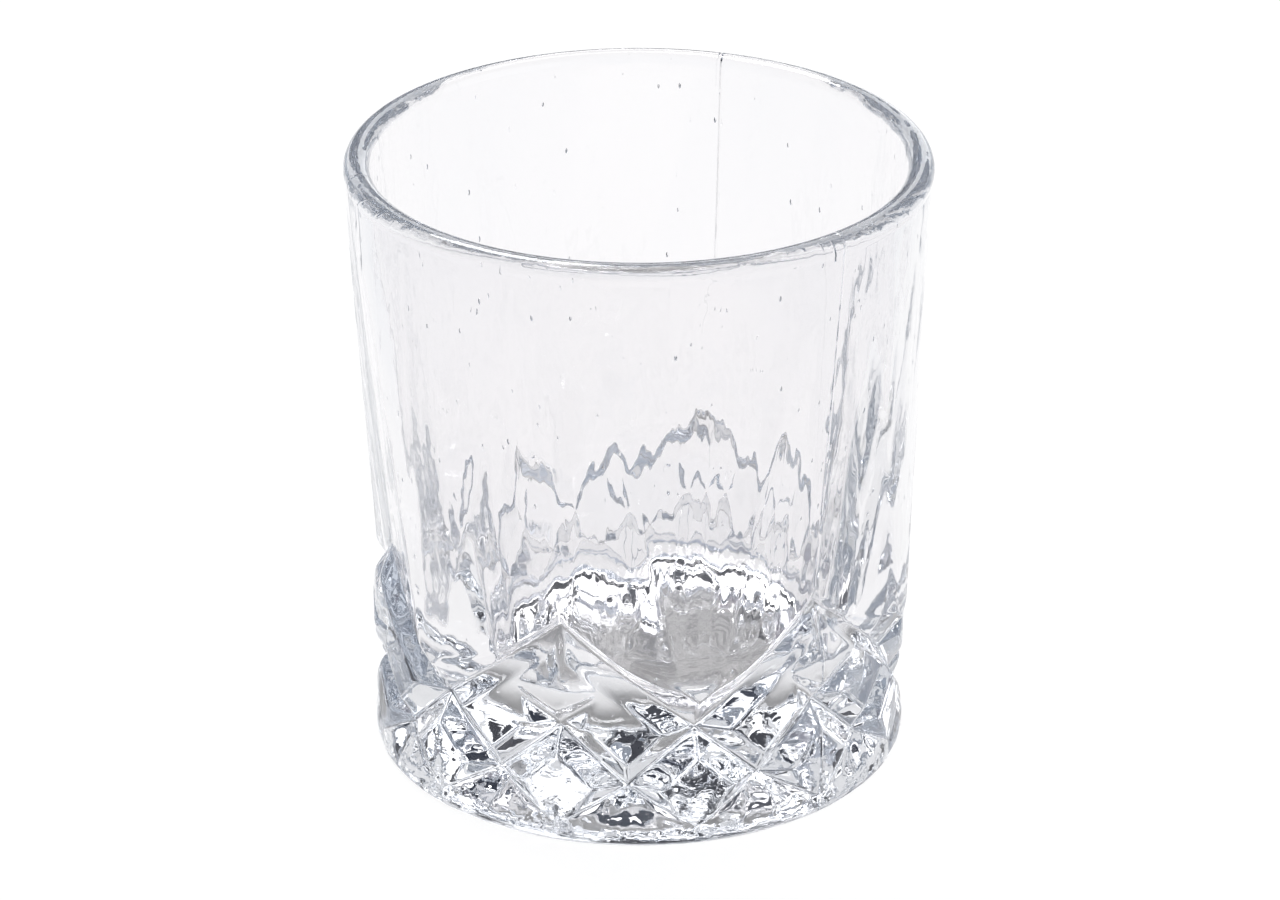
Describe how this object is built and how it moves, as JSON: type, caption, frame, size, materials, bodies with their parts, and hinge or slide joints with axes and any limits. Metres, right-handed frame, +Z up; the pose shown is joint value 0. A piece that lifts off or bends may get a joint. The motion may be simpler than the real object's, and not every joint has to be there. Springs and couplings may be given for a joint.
{
  "type": "whiskey tumbler",
  "caption": "Low pressed-glass tumbler with a rounded lip, flat-cut wall, a band of cut diamonds and a thick base, for spirits and other short drinks.",
  "frame": {"origin": "centre of the circle that the glass stands on, at the bottom of its base", "axes": "+Z up along the glass's axis, towards the mouth; -Y is the middle of one flat, under which the cut zigzag has a peak"},
  "size_m": [0.082, 0.082, 0.0895],
  "materials": {
    "glass": "fire-polished clear pressed glass"
  },
  "bodies": {
    "root": {"glass_tumbler": "glass"}
  },
  "joints": []
}
